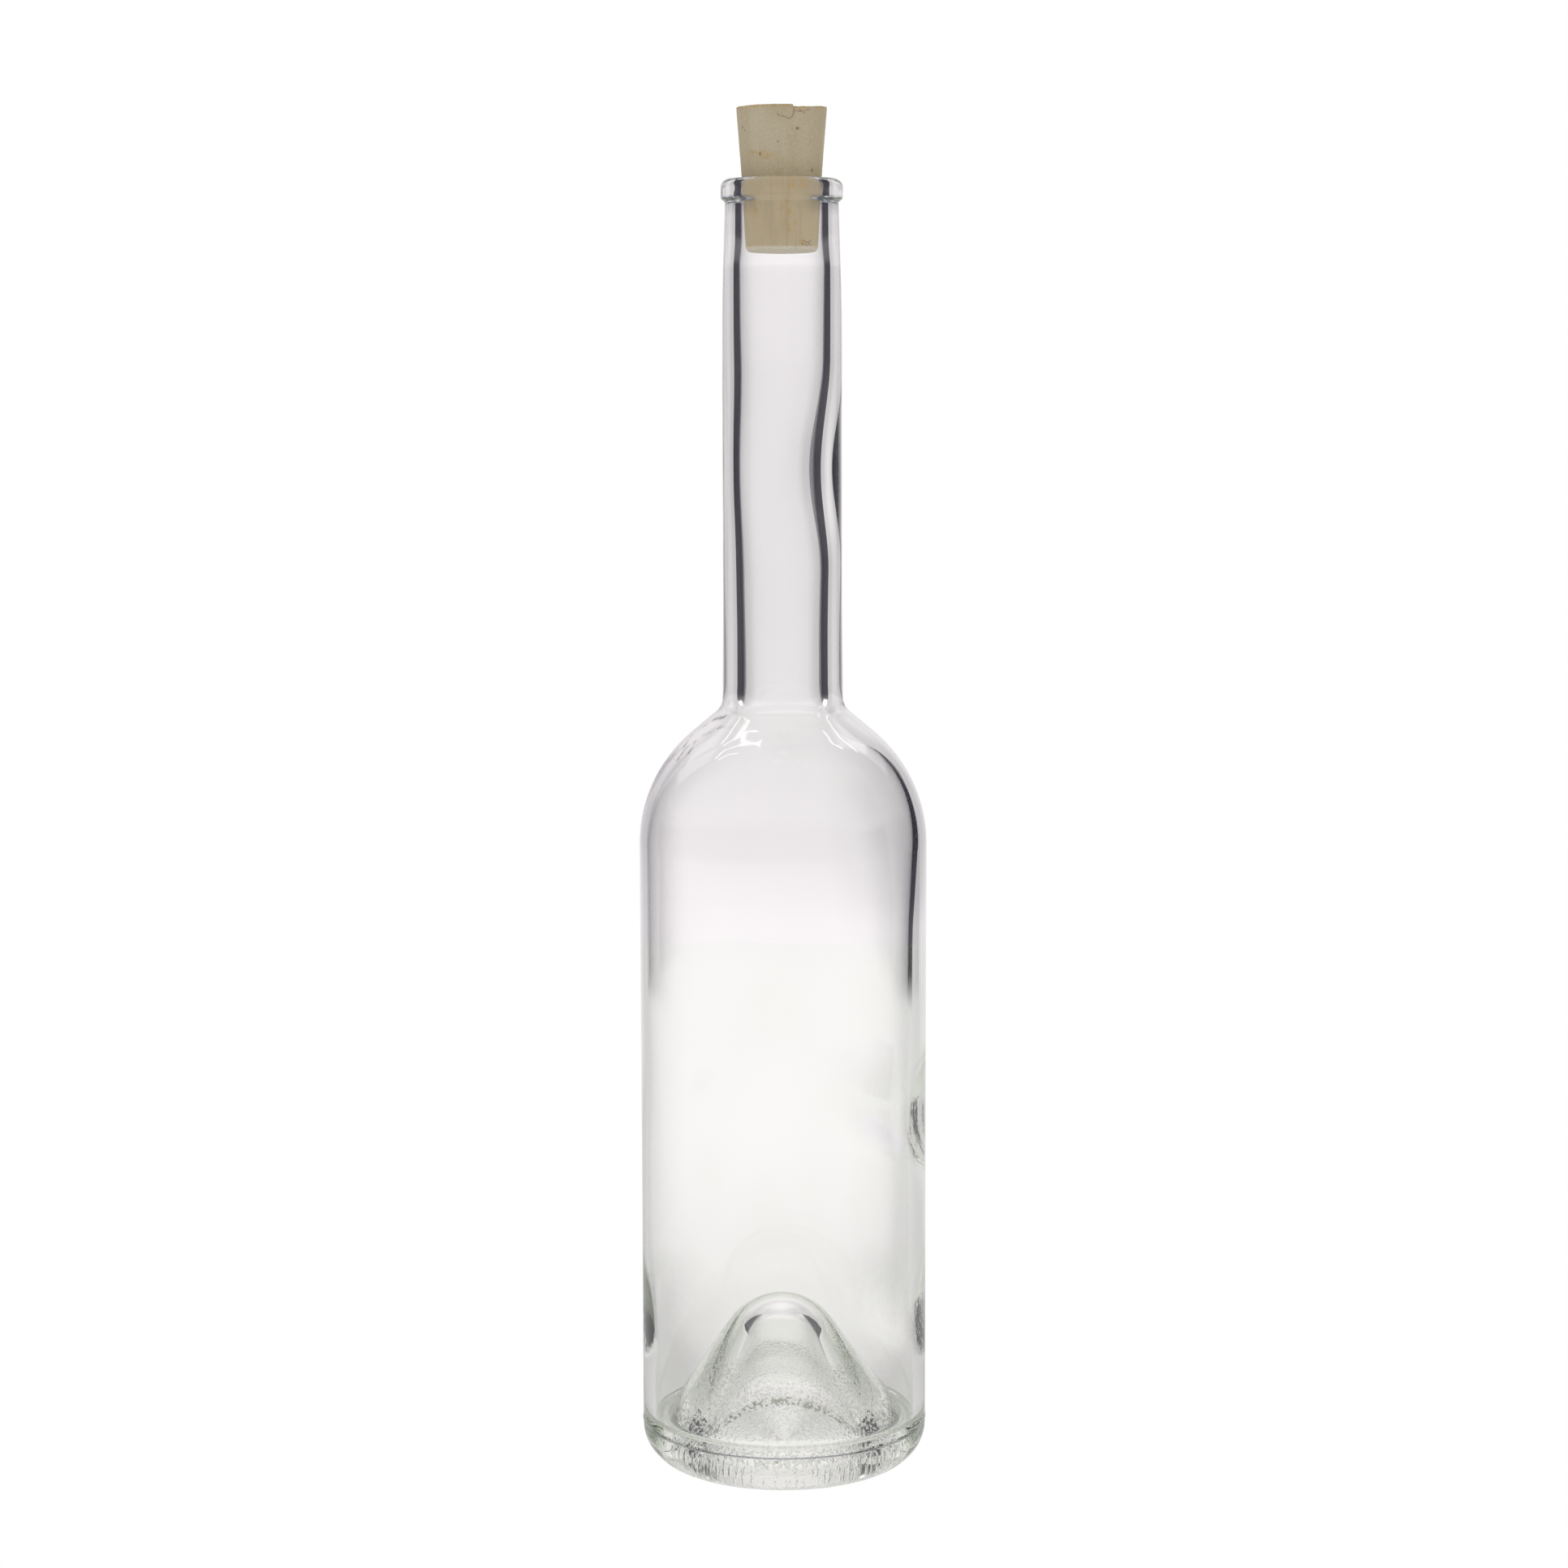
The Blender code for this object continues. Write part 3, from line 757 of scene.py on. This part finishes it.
def streak_group():
    """1 on the line from Start along Run, 0 from Width away on, by the distance to its nearest point."""
    nowhere = (0.0, 0.0, 0.0)
    group, inputs = mask_group("streak", Start=nowhere, Run=nowhere, Width=0.0)
    run = inputs["Run"]
    from_start = vector_node(group, "SUBTRACT", object_place(group), inputs["Start"])
    along = vector_node(group, "DOT_PRODUCT", from_start, run, result="Value")
    square = vector_node(group, "DOT_PRODUCT", run, run, result="Value")
    share = math_node(group, "DIVIDE", along, square)
    share = math_node(group, "MAXIMUM", share, 0.0)
    share = math_node(group, "MINIMUM", share, 1.0)
    nearest = vector_node(group, "SCALE", run)
    group.links.new(share, nearest.node.inputs["Scale"])
    distance = vector_node(group, "DISTANCE", from_start, nearest, result="Value")
    return finish_group(group, cut_node(group, distance, inputs["Width"], 0.0))


def add_group(tree, group, **values):
    """Places a node group in a material with its own values, and returns its mask."""
    node = tree.nodes.new("ShaderNodeGroup")
    node.node_tree = group
    set_values(node, **values)
    return node.outputs["Mask"]


def add_bump(tree, height, distance, before=None):
    """A bump in metres, on top of the one before it."""
    node = tree.nodes.new("ShaderNodeBump")
    set_values(node, Strength=1.0, Distance=distance)
    tree.links.new(height, node.inputs["Height"])
    if before:
        tree.links.new(before, node.inputs["Normal"])
    return node.outputs["Normal"]


GLASS_IOR = 1.52
GLASS_TINT = (0.70, 0.885, 0.52, 1.0)
GLASS_TINT_DENSITY = 5.0
GLASS_HAZE = (0.985, 0.985, 0.98, 1.0)
# The colour of the painted shade along the heel's seam and under the lip
GLASS_PAINTED_SHADE = (0.06, 0.07, 0.12, 1.0)
# Painted shade: the glass's colour is darkened where it is seen edge on; the higher the power, the narrower
# the edge
GLASS_PAINTED_EDGE_SHADE = (0.45, 0.46, 0.50, 1.0)
GLASS_EDGE_BLEND = 0.5
GLASS_EDGE_POWER = 6.0
STIPPLE_BUMP = 0.12 * MM
PEEL_BUMP = 0.03 * MM
RIPPLE_BUMP = 0.012 * MM
# The dark streaks on the shoulder: each is (start, end, half width) in mm
SHOULDER_STREAK_DARK = (0.06, 0.045, 0.04, 1.0)
SHOULDER_DARK_STREAKS = (
    ((-13.8, -8.6, 180.8), (-17.0, -5.6, 179.4), 1.5),
    ((-17.0, -5.6, 179.4), (-21.3, -4.4, 176.2), 1.3),
    ((-21.3, -4.4, 176.2), (-23.1, -7.8, 173.7), 1.1),
    ((-22.2, -9.5, 174.4), (-24.6, -10.6, 171.0), 0.8),
)


def shoulder_streak_mask(tree, grain):
    """The dark streaks on the shoulder, broken up by grain."""
    streak = streak_group()
    mask = 0.0
    for start, end, width in SHOULDER_DARK_STREAKS:
        foot = [value * MM for value in start]
        run = [(last - first) * MM for first, last in zip(start, end)]
        line = add_group(tree, streak, Start=foot, Run=run, Width=width * MM)
        mask = math_node(tree, "MAXIMUM", mask, line)
    broken = add_group(tree, grain, Size=1.6 * MM, Detail=3.0, Low=0.35, High=0.6)
    return math_node(tree, "MULTIPLY", mask, broken)


def glass_material(grain):
    """Clear glass: faintly green where it is thick, with stippled, hammered and gently rippled places."""
    material, tree, shader = new_material("clear_glass")
    set_values(shader, Roughness=0.0, IOR=GLASS_IOR, Metallic=0.0, Transmission_Weight=1.0)
    tint = tree.nodes.new("ShaderNodeVolumeAbsorption")
    set_values(tint, Color=GLASS_TINT, Density=GLASS_TINT_DENSITY)
    tree.links.new(tint.outputs["Volume"], tree.nodes["Material Output"].inputs["Volume"])
    haze = add_group(tree, grain, Size=18 * MM, Stretch=2.0, Detail=1.0)
    colour = mix_colours(tree, haze, WHITE, GLASS_HAZE)
    # Painted shade: dark lines along the heel's seam and under the lip
    colour = mix_colours(tree, attribute_mask(tree, "painted_shade"), colour, GLASS_PAINTED_SHADE)
    colour = mix_colours(tree, shoulder_streak_mask(tree, grain), colour, SHOULDER_STREAK_DARK)
    # Painted shade at the glass's edges, where it is seen edge on
    facing = tree.nodes.new("ShaderNodeLayerWeight")
    set_values(facing, Blend=GLASS_EDGE_BLEND)
    edge = math_node(tree, "POWER", facing.outputs["Facing"], GLASS_EDGE_POWER)
    colour = mix_colours(tree, edge, colour, GLASS_PAINTED_EDGE_SHADE)
    tree.links.new(colour, shader.inputs["Base Color"])
    stipple = add_group(tree, grain, Size=0.75 * MM, Detail=2.0, Low=0.47, High=0.77)
    stipple = math_node(tree, "MULTIPLY", stipple, attribute_mask(tree, "stipple"))
    peel = add_group(tree, grain, Size=2.2 * MM, Detail=1.5)
    peel = math_node(tree, "MULTIPLY", peel, attribute_mask(tree, "peel"))
    ripple = add_group(tree, grain, Size=9 * MM, Stretch=3.0, Detail=0.0)
    normal = add_bump(tree, stipple, STIPPLE_BUMP)
    normal = add_bump(tree, peel, PEEL_BUMP, normal)
    normal = add_bump(tree, ripple, RIPPLE_BUMP, normal)
    tree.links.new(normal, shader.inputs["Normal"])
    return material


CORK_PALE = (0.45, 0.385, 0.265, 1.0)
CORK_DEEP = (0.39, 0.32, 0.205, 1.0)
CORK_STAINED = (0.40, 0.32, 0.19, 1.0)
# Painted light: the cork's foot is paler, as if lit by the floor below
CORK_FOOT_PAINTED_LIGHT = (0.55, 0.50, 0.42, 1.0)
# Makes up for the light that the glass keeps from the cork inside it
CORK_BEHIND_GLASS = (1.83, 1.78, 1.67, 1.0)
CORK_OCHRE = (1.0, 0.80, 0.45, 1.0)
CORK_FRESH = (0.64, 0.57, 0.45, 1.0)
CORK_BARK = (0.10, 0.06, 0.035, 1.0)
CORK_CRACKED = (0.27, 0.17, 0.08, 1.0)
# Below STAIN_TOP the cork is stained, and fully so from STAIN_FOOT down
STAIN_TOP = 312.0 * MM
STAIN_FOOT = 305.0 * MM
# How strongly each layer of colour covers the ones below it
STAINED_SHARE = 0.75
CELL_SHARE = 0.22
FIBRE_SHARE = 0.25
PORE_SHARE = 0.55
OCHRE_SHARE = 0.9
FRESH_SHARE = 0.85
PIT_SHARE = 0.75
CELL_BUMP = 0.05 * MM
PORE_BUMP = 0.12 * MM


def cork_material(grain):
    """Natural cork: mottled and fibrous, darker in the mouth, with pores, stains and paler fresh faces."""
    material, tree, shader = new_material("natural_cork")
    set_values(shader, Roughness=0.85)
    mottle = add_group(tree, grain, Size=6 * MM, Stretch=2.5, Detail=3.0, Low=0.3, High=0.7)
    colour = mix_colours(tree, mottle, CORK_PALE, CORK_DEEP)
    split = tree.nodes.new("ShaderNodeSeparateXYZ")
    tree.links.new(object_place(tree), split.inputs["Vector"])
    in_mouth = cut_node(tree, split.outputs["Z"], STAIN_TOP, STAIN_FOOT)
    colour = lay_over(tree, colour, in_mouth, STAINED_SHARE, CORK_STAINED)
    # Painted light on the foot's band
    colour = mix_colours(tree, attribute_mask(tree, "foot"), colour, CORK_FOOT_PAINTED_LIGHT)
    path = tree.nodes.new("ShaderNodeLightPath")
    through_glass = math_node(tree, "MINIMUM", path.outputs["Transmission Depth"], 1.0)
    colour = mix_colours(tree, through_glass, colour, CORK_BEHIND_GLASS, "MULTIPLY")
    cells = add_group(tree, grain, Size=0.5 * MM, Detail=4.0, Low=0.3, High=0.75)
    colour = lay_over(tree, colour, cells, CELL_SHARE, CORK_FRESH)
    fibres = add_group(tree, grain, Size=0.9 * MM, Stretch=14.0, Detail=2.0, Low=0.45, High=0.8)
    colour = lay_over(tree, colour, fibres, FIBRE_SHARE, CORK_DEEP)
    pores = add_group(tree, grain, Size=1.1 * MM, Stretch=0.7, Detail=2.5, Low=0.74, High=0.79)
    colour = lay_over(tree, colour, pores, PORE_SHARE, CORK_BARK)
    patchy = add_group(tree, grain, Size=1.2 * MM, Detail=3.0, Low=0.3, High=0.6)
    stain = math_node(tree, "MULTIPLY", attribute_mask(tree, "stain"), patchy)
    colour = lay_over(tree, colour, stain, OCHRE_SHARE, CORK_OCHRE, "MULTIPLY")
    colour = lay_over(tree, colour, attribute_mask(tree, "fresh"), FRESH_SHARE, CORK_FRESH)
    colour = mix_colours(tree, attribute_mask(tree, "crack"), colour, CORK_CRACKED)
    colour = lay_over(tree, colour, attribute_mask(tree, "pit"), PIT_SHARE, CORK_BARK)
    tree.links.new(colour, shader.inputs["Base Color"])
    normal = add_bump(tree, cells, CELL_BUMP)
    normal = add_bump(tree, math_node(tree, "SUBTRACT", 1.0, pores), PORE_BUMP, normal)
    tree.links.new(normal, shader.inputs["Normal"])
    return material


# The studio's light, as a map round the bottle. Behind is a pale sheet that fades towards its sides. The
# room at both sides of it is dark up to a height, with two soft boxes above, and the front is open and
# pale. Side angles are in degrees from straight behind, heights in degrees up and floor distances in mm.
DOME_RADIUS = 750 * MM
DOME_SIDES = np.linspace(-180, 180, 721)
DOME_HEIGHTS = np.linspace(0, 90, 181)
FLOOR_RINGS = np.linspace(0, DOME_RADIUS, 76)
FLOOR_GAP = 0.05 * MM

# The sheet, the room and the open front: how much light comes from each side angle or height
SHEET_HALF_ANGLE = 41.0
SHEET_EDGE = 0.5
SHEET_SIDES = (0, 6, 10, 16, 20, 25, 30, 41)
SHEET_SIDE_LIGHTS = (1.0, 0.99, 0.955, 0.91, 0.85, 0.75, 0.69, 0.64)
SHEET_HEIGHTS = (0.0, 1.0, 2.2, 3.6, 5.5, 10.0, 18.0, 20.5, 22.0, 23.5, 25.5, 90.0)
SHEET_HEIGHT_LIGHTS = (0.93, 0.93, 0.90, 0.86, 0.84, 0.82, 0.815, 0.83, 0.86, 0.90, 0.95, 0.95)
ROOM_HEIGHTS = (0, 26, 36, 50, 65, 78, 90)
ROOM_HEIGHT_LIGHTS = (0.0, 0.0, 0.12, 0.28, 0.55, 0.82, 0.82)
FRONT_START = 64.0
FRONT_END = 90.0
FRONT_HEIGHTS = (0, 5, 8, 25, 45, 90)
FRONT_HEIGHT_LIGHTS = (0.95, 0.75, 0.62, 0.66, 0.76, 0.82)
ROOM_SHADE = (0.002, 0.0, 0.012)
SHEET_COLOUR = (1.04, 1.0, 1.02)
FLOOR_COLOUR = (1.015, 1.0, 0.995)
# Each soft box is (side angle, its half width, height, its half height, light)
SOFT_BOXES = (
    (-49.5, 7.5, 48.0, 8.0, 1.0),
    (50.0, 8.0, 46.0, 10.0, 1.0),
)
SOFT_BOX_EDGE = 2.0
# The bright edges of the soft boxes: each is (corners as side angle and height, half width, light)
LIGHT_STRIPS = (
    (((-60.5, 68.5), (-58.5, 65.0), (-61.5, 61.0)), 0.5, 4.0),
    (((-57.0, 59.0), (-48.0, 61.0), (-42.5, 66.0), (-41.0, 71.0), (-38.0, 76.0)), 0.5, 4.5),
    (((48.0, 61.5), (53.5, 58.0), (60.5, 53.0)), 0.5, 4.5),
)
STRIP_EDGE = 0.4

# The floor: how much light comes from each distance and side angle, and where it ends at the room's sides
FLOOR_DISTANCES = (0, 120, 175, 225, 275, 350, 600, 750)
FLOOR_LIGHTS = (0.78, 0.80, 0.87, 0.88, 0.91, 0.935, 0.93, 0.92)
FLOOR_SIDES = (0, 8, 14, 18, 22.5, 27, 33, 45, 65, 75, 85, 95, 180)
FLOOR_SIDE_LIGHTS = (1.0, 0.99, 0.94, 0.88, 0.78, 0.70, 0.70, 0.77, 0.83, 0.90, 1.03, 1.14, 1.16)
FLOOR_SIDE_END = 610 * MM
FLOOR_SIDE_FADE = 70 * MM
# What a matt surface gets from every side
EVEN_LIGHT = 0.92


def band(value, centre, half_width, edge):
    """1 within half_width of the centre, and 0 beyond it, with a soft edge."""
    return 1 - smooth_step(np.abs(value - centre), half_width - edge, half_width + edge)


def distance_on_dome(side, height, corners):
    """How far each direction lies from a bent strip, in degrees. Side angles count half, as 60 degrees up."""
    place = np.stack([side / 2, height], axis=-1)
    near = np.full(side.shape, np.inf)
    for first, last in zip(corners, corners[1:]):
        start = np.array([first[0] / 2, first[1]])
        run = np.array([last[0] / 2, last[1]]) - start
        share = np.clip((place - start) @ run / (run @ run), 0, 1)
        near = np.minimum(near, np.linalg.norm(start + run * share[..., None] - place, axis=-1))
    return near


def dome_light(side, height):
    """The light that comes from each direction, by its angle round from straight behind and its angle up."""
    away = np.abs(side)
    behind = band(away, 0.0, SHEET_HALF_ANGLE, SHEET_EDGE)
    sheet = np.interp(away, SHEET_SIDES, SHEET_SIDE_LIGHTS)
    sheet = sheet * np.interp(height, SHEET_HEIGHTS, SHEET_HEIGHT_LIGHTS)
    front = smooth_step(away, FRONT_START, FRONT_END)
    front = front * np.interp(height, FRONT_HEIGHTS, FRONT_HEIGHT_LIGHTS)
    room = np.maximum(np.interp(height, ROOM_HEIGHTS, ROOM_HEIGHT_LIGHTS), front)
    light = (behind * sheet + (1 - behind) * room)[..., None] * SHEET_COLOUR + ROOM_SHADE
    for centre, half_width, middle, half_height, strength in SOFT_BOXES:
        lit = band(side, centre, half_width, SOFT_BOX_EDGE)
        lit = lit * band(height, middle, half_height, SOFT_BOX_EDGE)
        light = light + lit[..., None] * strength
    for corners, half_width, strength in LIGHT_STRIPS:
        lit = band(distance_on_dome(side, height, corners), 0.0, half_width, STRIP_EDGE)
        light = light + lit[..., None] * strength
    return light


def floor_light(side, distance):
    """The light of the floor, by its angle round from straight behind and its distance from the bottle."""
    away = np.abs(side)
    light = np.interp(away, FLOOR_SIDES, FLOOR_SIDE_LIGHTS)
    light = light * np.interp(distance / MM, FLOOR_DISTANCES, FLOOR_LIGHTS)
    aside = smooth_step(away, SHEET_HALF_ANGLE - SHEET_EDGE, SHEET_HALF_ANGLE + SHEET_EDGE)
    aside = aside * (1 - smooth_step(away, FRONT_START, FRONT_END))
    light = light * (1 - aside * smooth_step(distance, FLOOR_SIDE_END, FLOOR_SIDE_END + FLOOR_SIDE_FADE))
    return light[..., None] * FLOOR_COLOUR


def stage_material(name):
    """Light only: its own map to glass, even light to what cork scatters, and plain white to the camera."""
    material = bpy.data.materials.new(name)
    material.use_nodes = True
    material.cycles.emission_sampling = "NONE"
    tree = material.node_tree
    tree.nodes.remove(tree.nodes["Principled BSDF"])
    reader = tree.nodes.new("ShaderNodeAttribute")
    reader.attribute_name = "light"
    path = tree.nodes.new("ShaderNodeLightPath")
    scattered = math_node(tree, "MINIMUM", path.outputs["Diffuse Depth"], 1.0)
    even = (EVEN_LIGHT, EVEN_LIGHT, EVEN_LIGHT, 1.0)
    colour = mix_colours(tree, scattered, reader.outputs["Color"], even)
    colour = mix_colours(tree, path.outputs["Is Camera Ray"], colour, WHITE)
    light = tree.nodes.new("ShaderNodeEmission")
    tree.links.new(colour, light.inputs["Color"])
    clear = tree.nodes.new("ShaderNodeBsdfTransparent")
    geometry = tree.nodes.new("ShaderNodeNewGeometry")
    one_sided = tree.nodes.new("ShaderNodeMixShader")
    tree.links.new(geometry.outputs["Backfacing"], one_sided.inputs["Fac"])
    tree.links.new(light.outputs["Emission"], one_sided.inputs[1])
    tree.links.new(clear.outputs["BSDF"], one_sided.inputs[2])
    tree.links.new(one_sided.outputs["Shader"], tree.nodes["Material Output"].inputs["Surface"])
    return material


def make_stage_piece(name, points, light, studio):
    """A grid of points with a light for each, which faces the bottle and turns with the studio."""
    mesh = bpy.data.meshes.new(name)
    index = np.arange(points[..., 0].size).reshape(points.shape[:2])
    faces = np.stack([index[:-1, :-1], index[:-1, 1:], index[1:, 1:], index[1:, :-1]], axis=-1)
    mesh.from_pydata(points.reshape(-1, 3).tolist(), [], faces.reshape(-1, 4).tolist())
    colours = np.concatenate([light, np.ones(light.shape[:2] + (1,))], axis=-1)
    attribute = mesh.attributes.new("light", "FLOAT_COLOR", "POINT")
    attribute.data.foreach_set("color", colours.ravel().astype(np.float32))
    piece = add_piece(name, mesh, stage_material(name))
    piece.parent = studio
    return piece


def make_dome(studio):
    """A half ball: the point at side angle a and height angle e is R (sin a cos e, cos a cos e, sin e)."""
    side, height = np.meshgrid(DOME_SIDES, DOME_HEIGHTS)
    across = np.cos(height * DEGREE)
    directions = [np.sin(side * DEGREE) * across, np.cos(side * DEGREE) * across, np.sin(height * DEGREE)]
    points = DOME_RADIUS * np.stack(directions, axis=-1)
    dome = make_stage_piece("studio_dome", points, dome_light(side, height), studio)
    dome.visible_camera = False


def make_floor(studio):
    """A flat round floor out to the dome: the point at side angle a and distance d is (d sin a, d cos a)."""
    side, distance = np.meshgrid(DOME_SIDES, FLOOR_RINGS)
    drop = np.full(side.shape, -FLOOR_GAP)
    points = np.stack([distance * np.sin(side * DEGREE), distance * np.cos(side * DEGREE), drop], axis=-1)
    make_stage_piece("floor", points, floor_light(side, distance), studio)


def make_studio(camera):
    """The studio turns level with the camera, as if the bottle stood on a turntable."""
    studio = bpy.data.objects.new("studio", None)
    bpy.context.scene.collection.objects.link(studio)
    heading = studio.constraints.new("COPY_ROTATION")
    heading.target = camera
    heading.use_x = False
    heading.use_y = False
    make_dome(studio)
    make_floor(studio)


def make_world():
    """Plain white, beyond the studio."""
    world = bpy.data.worlds.new("studio")
    world.use_nodes = True
    world.node_tree.nodes["Background"].inputs["Color"].default_value = WHITE
    bpy.context.scene.world = world


# The camera, at the photo's angle
CAMERA_PLACE = (0.44 * MM, -794.6 * MM, 260.2 * MM)
CAMERA_DOWN = 6.91 * DEGREE
CAMERA_ROLL = 0.118 * DEGREE
CAMERA_LENS = 77.63
LIGHT_BOUNCES = 32


def make_camera():
    """Looks along +Y, down by a few degrees and rolled by a hair, with a long lens."""
    data = bpy.data.cameras.new("camera")
    data.lens = CAMERA_LENS
    camera = bpy.data.objects.new("camera", data)
    camera.location = CAMERA_PLACE
    camera.rotation_euler = (math.pi / 2 - CAMERA_DOWN, CAMERA_ROLL, 0.0)
    bpy.context.scene.collection.objects.link(camera)
    bpy.context.scene.camera = camera
    return camera


def allow_deep_paths():
    """Light crosses the glass of a bottle many times before it leaves."""
    cycles = bpy.context.scene.cycles
    cycles.max_bounces = LIGHT_BOUNCES
    cycles.glossy_bounces = LIGHT_BOUNCES
    cycles.transmission_bounces = LIGHT_BOUNCES


def main():
    """Makes both pieces, hangs each on its body and hides the solid that it stands for, then the studio, the
    camera and the world.
    """
    grain = grain_group()
    glass = make_glass(glass_material(grain))
    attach(glass, "bottle")
    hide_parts("glass_bottle")
    cork = make_cork(cork_material(grain))
    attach(cork, "stopper")
    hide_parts("cork_stopper")
    make_studio(make_camera())
    make_world()
    allow_deep_paths()
    bpy.context.scene.view_settings.view_transform = "Standard"


main()
